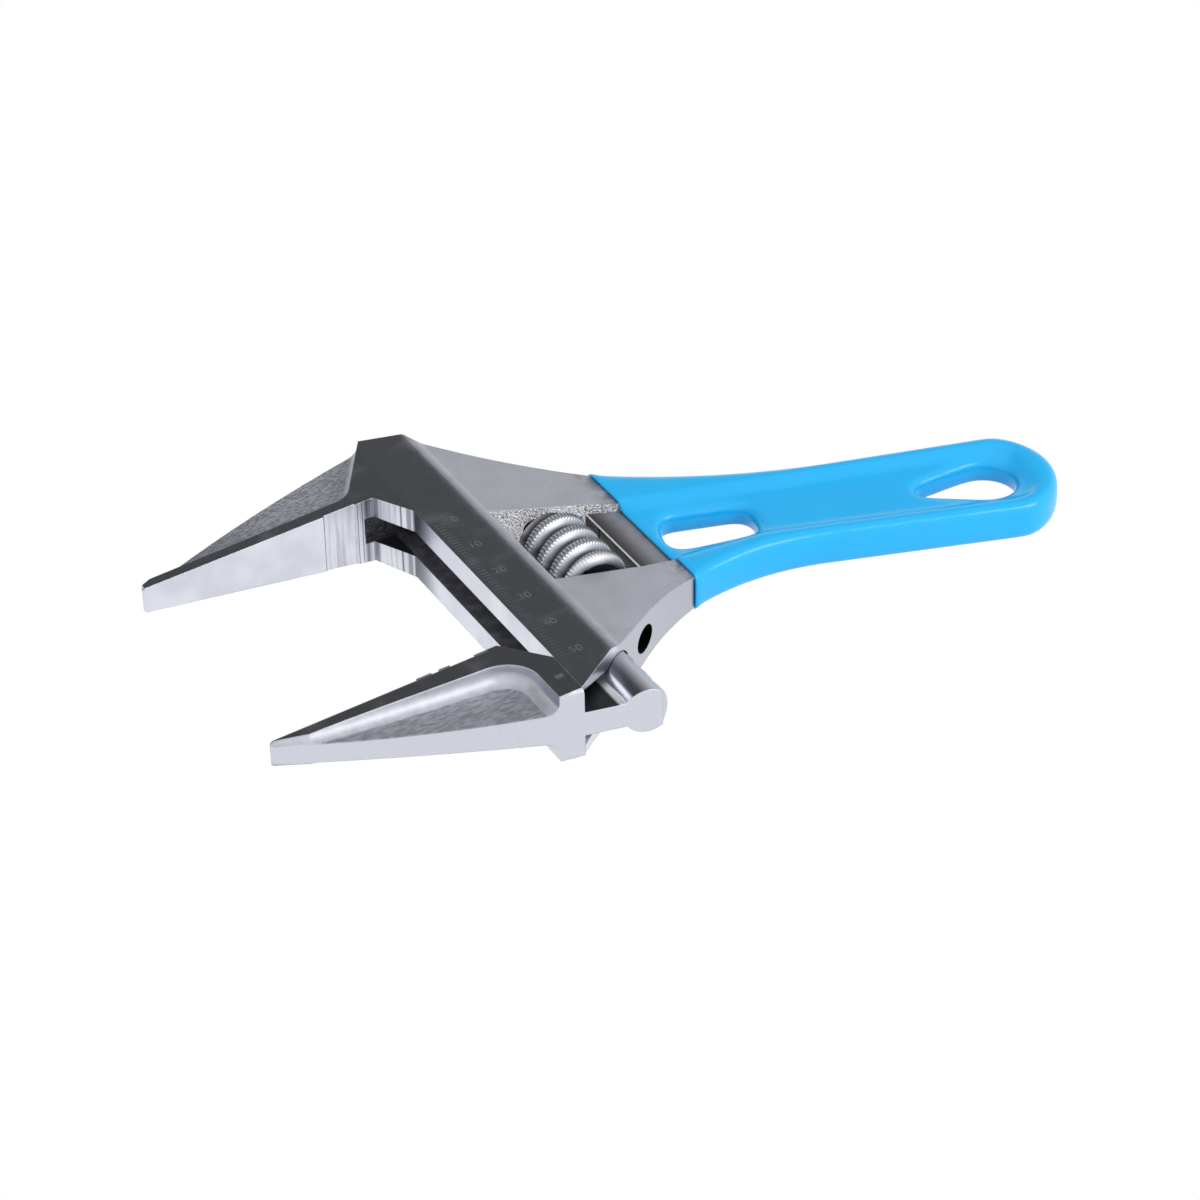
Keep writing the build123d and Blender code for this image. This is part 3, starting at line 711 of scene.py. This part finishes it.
def make_floor():
    """White paper under the wrench, plain white where it is seen and lit like paper elsewhere."""
    low = ORIGIN.z - HALF_HEAD * MM
    corners = [(x * FLOOR_HALF, y * FLOOR_HALF, low) for x, y in ((-1, -1), (1, -1), (1, 1), (-1, 1))]
    made = new_mesh("studio_floor", corners, [(0, 1, 2, 3)], smooth=False)
    material = bpy.data.materials.new("studio_paper")
    material.use_nodes = True
    nodes, links = material.node_tree.nodes, material.node_tree.links
    shader = nodes["Principled BSDF"]
    shader.inputs["Roughness"].default_value = 0.9
    shader.inputs["Specular IOR Level"].default_value = 0.0
    shader.inputs["Emission Color"].default_value = (1.0, 1.0, 1.0, 1.0)
    path = nodes.new("ShaderNodeLightPath")
    seen = path.outputs["Is Camera Ray"]
    for kind in ("Is Glossy Ray", "Is Transmission Ray"):
        either = nodes.new("ShaderNodeMath")
        either.operation = "MAXIMUM"
        links.new(seen, either.inputs[0])
        links.new(path.outputs[kind], either.inputs[1])
        seen = either.outputs[0]
    links.new(seen, shader.inputs["Emission Strength"])
    paper = nodes.new("ShaderNodeMath")
    paper.operation = "MULTIPLY_ADD"
    links.new(seen, paper.inputs[0])
    paper.inputs[1].default_value = -PAPER
    paper.inputs[2].default_value = PAPER
    links.new(paper.outputs[0], shader.inputs["Base Color"])
    made.data.materials.append(material)


def make_world():
    """A studio: a white sweep low down, a dim room behind it and a bright ceiling."""
    world = bpy.data.worlds.new("studio")
    bpy.context.scene.world = world
    world.use_nodes = True
    nodes, links = world.node_tree.nodes, world.node_tree.links
    split = nodes.new("ShaderNodeSeparateXYZ")
    links.new(nodes.new("ShaderNodeTexCoord").outputs["Generated"], split.inputs[0])

    def ramp(value, stops):
        node = nodes.new("ShaderNodeValToRGB")
        while len(node.color_ramp.elements) < len(stops):
            node.color_ramp.elements.new(0.5)
        for element, (position, level) in zip(node.color_ramp.elements, stops):
            element.position = position
            element.color = (level, level, level, 1.0)
        links.new(value, node.inputs[0])
        return node.outputs[0]

    def math(operation, first, second):
        node = nodes.new("ShaderNodeMath")
        node.operation = operation
        for socket, value in zip(node.inputs, (first, second)):
            if isinstance(value, float):
                socket.default_value = value
            else:
                links.new(value, socket)
        return node.outputs[0]

    ceiling = ramp(split.outputs[2], ((0.0, 1.0), (0.25, 1.0), (0.6, 0.95), (1.0, 0.9)))
    room = ramp(split.outputs[2], ((0.2, 0.0), (0.42, 1.0), (0.72, 1.0), (0.92, 0.0)))
    away = ramp(math("MULTIPLY", split.outputs[1], -1.0), ((0.1, 0.0), (0.55, 1.0)))
    dim = math("MULTIPLY", math("MULTIPLY", room, away), -ROOM_DIMMING)
    level = math("MULTIPLY", ceiling, math("ADD", dim, 1.0))
    background = nodes["Background"]
    links.new(level, background.inputs["Color"])
    background.inputs["Strength"].default_value = 1.0


def make_lamp(name, spot, aim, width, height, power):
    """A rectangular softbox whose width runs as near as it can along X."""
    lamp = bpy.data.lights.new(name, "AREA")
    lamp.shape = "RECTANGLE"
    lamp.size = width
    lamp.size_y = height
    lamp.energy = power
    made = bpy.data.objects.new(name, lamp)
    bpy.context.scene.collection.objects.link(made)
    made.location = spot
    back = (Vector(spot) - Vector(aim)).normalized()
    down = back.cross(Vector((1.0, 0.0, 0.0))).normalized()
    turn = Matrix((down.cross(back), down, back)).transposed()
    made.rotation_mode = "QUATERNION"
    made.rotation_quaternion = turn.to_quaternion()


CAMERA_SPOT = (284.277, 605.037, 441.566)
CAMERA_AIM = (-0.393937, -0.722329, -0.568379)
CAMERA_ROLL = -0.98
CAMERA_LENS = 121.78


def make_camera():
    """A long lens that looks down over the moving jaw."""
    lens = bpy.data.cameras.new("camera")
    lens.sensor_width = 36.0
    lens.lens = CAMERA_LENS
    lens.clip_start = 0.05
    lens.clip_end = 20.0
    camera = bpy.data.objects.new("camera", lens)
    bpy.context.scene.collection.objects.link(camera)
    camera.location = place(*CAMERA_SPOT)
    level = Vector(CAMERA_AIM).to_track_quat("-Z", "Y")
    camera.rotation_mode = "QUATERNION"
    camera.rotation_quaternion = level @ Quaternion((0.0, 0.0, 1.0), radians(CAMERA_ROLL))
    bpy.context.scene.camera = camera


nodes = frame["nodes"]
skin = make_skin(nodes["grip"])
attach(skin, "root")
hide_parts("grip")
worm = make_worm()
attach(worm, "worm")
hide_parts("worm")
scale = make_scale()
for piece in scale:
    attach(piece, "root")

wear(make_forged_steel(), nodes["body"])
wear(make_jaw_steel(), nodes["moving_jaw"])
wear(make_worm_steel(), worm)
wear(make_pin_steel(), nodes["worm_pin"], nodes["worm_spring"])
wear(make_blue_vinyl(), skin)
wear(make_scale_ink(), *scale)

make_floor()
make_world()
make_lamp("softbox", place(*LAMP_SPOT), place(*LAMP_AIM), LAMP_WIDTH, LAMP_HEIGHT, LAMP_WATTS)
make_camera()
bpy.context.scene.view_settings.view_transform = "Standard"
